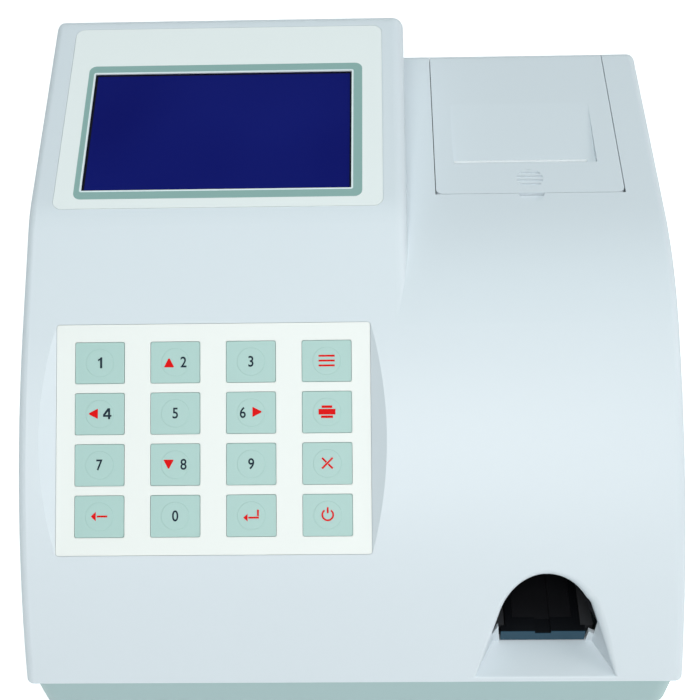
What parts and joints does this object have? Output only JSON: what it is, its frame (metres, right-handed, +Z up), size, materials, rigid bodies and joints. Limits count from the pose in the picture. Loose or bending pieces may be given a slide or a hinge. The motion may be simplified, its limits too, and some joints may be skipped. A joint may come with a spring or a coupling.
{
  "type": "urine analyzer",
  "caption": "Desktop urine strip analyzer with a raised display hood, a sunk keypad, an arched strip port with a sliding carriage, and a paper printer under a hinged cover.",
  "frame": {"origin": "on the table, at the middle of the case's width and depth, at the underside of the feet", "axes": "+X to the operator's right, +Y from the operator towards the back wall, +Z up"},
  "size_m": [0.265, 0.268, 0.1782],
  "materials": {
    "case_white": "satin",
    "base_white": "satin",
    "foot_rubber": "matte",
    "screw_steel": "satin",
    "bezel_white": "satin",
    "key_grey": "satin",
    "mat_rubber": "matte",
    "board_green": "satin",
    "label_film": "gloss",
    "clear_lens": "gloss",
    "panel_steel": "satin",
    "panel_blue": "gloss",
    "chassis_grey": "matte",
    "head_aluminium": "satin",
    "platen_rubber": "matte",
    "gear_plastic": "satin",
    "paper_white": "matte",
    "liner_black": "matte",
    "carriage_grey": "satin",
    "tray_white": "satin",
    "pad_ceramic": "matte",
    "optic_black": "matte",
    "optic_glass": "gloss",
    "connector_black": "satin",
    "rocker_black": "satin",
    "connector_metal": "satin"
  },
  "bodies": {
    "case": {"top_case": "case_white", "base_case": "base_white", "rubber_feet": "foot_rubber", "case_screws": "screw_steel", "board_screws": "screw_steel", "keypad_bezel": "bezel_white", "key_mat": "mat_rubber", "keypad_board": "board_green", "display_label": "label_film", "display_window": "clear_lens", "lcd_bezel": "panel_steel", "lcd_glass": "panel_blue", "lcd_board": "board_green", "cover_hinge_pin": "screw_steel", "printer_frame": "chassis_grey", "thermal_head": "head_aluminium", "printer_motor": "screw_steel", "paper_spindle": "gear_plastic", "paper_web": "paper_white", "port_liner": "liner_black", "transport_bed": "chassis_grey", "drive_motor": "screw_steel", "optical_head": "optic_black", "optical_lens": "optic_glass", "lamp_board": "board_green", "home_sensor": "connector_black", "main_board": "board_green", "power_board": "board_green", "rear_panel": "connector_metal", "power_inlet": "connector_black", "power_switch_housing": "connector_black", "serial_port": "connector_metal"},
    "cover": {"printer_cover": "case_white"},
    "platen": {"platen_roller": "platen_rubber", "platen_gear": "gear_plastic"},
    "idler": {"printer_idler_gear": "gear_plastic"},
    "motor_pinion": {"printer_motor_pinion": "gear_plastic"},
    "roll": {"paper_roll": "paper_white"},
    "carriage": {"strip_carriage": "carriage_grey", "strip_tray": "tray_white", "reference_pad": "pad_ceramic", "carriage_rack": "gear_plastic"},
    "pinion": {"drive_pinion": "gear_plastic"},
    "rocker": {"power_rocker": "rocker_black"},
    "button_clear": {"key_clear": "key_grey"},
    "button_0": {"key_0": "key_grey"},
    "button_enter": {"key_enter": "key_grey"},
    "button_start": {"key_start": "key_grey"},
    "button_7": {"key_7": "key_grey"},
    "button_8": {"key_8": "key_grey"},
    "button_9": {"key_9": "key_grey"},
    "button_cancel": {"key_cancel": "key_grey"},
    "button_4": {"key_4": "key_grey"},
    "button_5": {"key_5": "key_grey"},
    "button_6": {"key_6": "key_grey"},
    "button_print": {"key_print": "key_grey"},
    "button_1": {"key_1": "key_grey"},
    "button_2": {"key_2": "key_grey"},
    "button_3": {"key_3": "key_grey"},
    "button_menu": {"key_menu": "key_grey"}
  },
  "joints": [
    {"name": "cover_hinge", "type": "hinge", "parent": "case", "child": "cover", "pos_m": [0.07635, 0.1212, 0.1443], "axis": [-1, 0, 0], "range_deg": [0, 90]},
    {"name": "carriage_slide", "type": "slide", "parent": "case", "child": "carriage", "axis": [0, -1, 0], "range_m": [0, 0.06]},
    {"name": "pinion_spin", "type": "hinge", "parent": "case", "child": "pinion", "pos_m": [0.0764, -0.038, 0.02089], "axis": [1, 0, 0], "range_deg": [0, 546]},
    {"name": "platen_spin", "type": "hinge", "parent": "case", "child": "platen", "pos_m": [0.0736, 0.05581, 0.13404], "axis": [1, 0, 0], "continuous": true},
    {"name": "idler_spin", "type": "hinge", "parent": "case", "child": "idler", "pos_m": [0.1166, 0.05073, 0.11794], "axis": [1, 0, 0], "continuous": true},
    {"name": "motor_pinion_spin", "type": "hinge", "parent": "case", "child": "motor_pinion", "pos_m": [0.1166, 0.04655, 0.1047], "axis": [1, 0, 0], "continuous": true},
    {"name": "roll_spin", "type": "hinge", "parent": "case", "child": "roll", "pos_m": [0.0736, 0.08506, 0.12201], "axis": [1, 0, 0], "continuous": true},
    {"name": "power_rocker_tilt", "type": "hinge", "parent": "case", "child": "rocker", "pos_m": [-0.055, 0.12765, 0.058], "axis": [1, 0, 0], "range_deg": [0, 18]},
    {"name": "press_clear", "type": "slide", "parent": "case", "child": "button_clear", "axis": [0, 0.6388, -0.7694], "range_m": [0, 0.0006], "stiffness_N_per_m": 400, "springref_m": -0.0005},
    {"name": "press_0", "type": "slide", "parent": "case", "child": "button_0", "axis": [0, 0.6388, -0.7694], "range_m": [0, 0.0006], "stiffness_N_per_m": 400, "springref_m": -0.0005},
    {"name": "press_enter", "type": "slide", "parent": "case", "child": "button_enter", "axis": [0, 0.6388, -0.7694], "range_m": [0, 0.0006], "stiffness_N_per_m": 400, "springref_m": -0.0005},
    {"name": "press_start", "type": "slide", "parent": "case", "child": "button_start", "axis": [0, 0.6388, -0.7694], "range_m": [0, 0.0006], "stiffness_N_per_m": 400, "springref_m": -0.0005},
    {"name": "press_7", "type": "slide", "parent": "case", "child": "button_7", "axis": [0, 0.6388, -0.7694], "range_m": [0, 0.0006], "stiffness_N_per_m": 400, "springref_m": -0.0005},
    {"name": "press_8", "type": "slide", "parent": "case", "child": "button_8", "axis": [0, 0.6388, -0.7694], "range_m": [0, 0.0006], "stiffness_N_per_m": 400, "springref_m": -0.0005},
    {"name": "press_9", "type": "slide", "parent": "case", "child": "button_9", "axis": [0, 0.6388, -0.7694], "range_m": [0, 0.0006], "stiffness_N_per_m": 400, "springref_m": -0.0005},
    {"name": "press_cancel", "type": "slide", "parent": "case", "child": "button_cancel", "axis": [0, 0.6388, -0.7694], "range_m": [0, 0.0006], "stiffness_N_per_m": 400, "springref_m": -0.0005},
    {"name": "press_4", "type": "slide", "parent": "case", "child": "button_4", "axis": [0, 0.6388, -0.7694], "range_m": [0, 0.0006], "stiffness_N_per_m": 400, "springref_m": -0.0005},
    {"name": "press_5", "type": "slide", "parent": "case", "child": "button_5", "axis": [0, 0.6388, -0.7694], "range_m": [0, 0.0006], "stiffness_N_per_m": 400, "springref_m": -0.0005},
    {"name": "press_6", "type": "slide", "parent": "case", "child": "button_6", "axis": [0, 0.6388, -0.7694], "range_m": [0, 0.0006], "stiffness_N_per_m": 400, "springref_m": -0.0005},
    {"name": "press_print", "type": "slide", "parent": "case", "child": "button_print", "axis": [0, 0.6388, -0.7694], "range_m": [0, 0.0006], "stiffness_N_per_m": 400, "springref_m": -0.0005},
    {"name": "press_1", "type": "slide", "parent": "case", "child": "button_1", "axis": [0, 0.6388, -0.7694], "range_m": [0, 0.0006], "stiffness_N_per_m": 400, "springref_m": -0.0005},
    {"name": "press_2", "type": "slide", "parent": "case", "child": "button_2", "axis": [0, 0.6388, -0.7694], "range_m": [0, 0.0006], "stiffness_N_per_m": 400, "springref_m": -0.0005},
    {"name": "press_3", "type": "slide", "parent": "case", "child": "button_3", "axis": [0, 0.6388, -0.7694], "range_m": [0, 0.0006], "stiffness_N_per_m": 400, "springref_m": -0.0005},
    {"name": "press_menu", "type": "slide", "parent": "case", "child": "button_menu", "axis": [0, 0.6388, -0.7694], "range_m": [0, 0.0006], "stiffness_N_per_m": 400, "springref_m": -0.0005}
  ],
  "couplings": [
    {"joint": "pinion_spin", "follows": "carriage_slide", "rad_per_m": 158.73},
    {"joint": "idler_spin", "follows": "platen_spin", "ratio": -0.75},
    {"joint": "motor_pinion_spin", "follows": "platen_spin", "ratio": 1.7143}
  ]
}
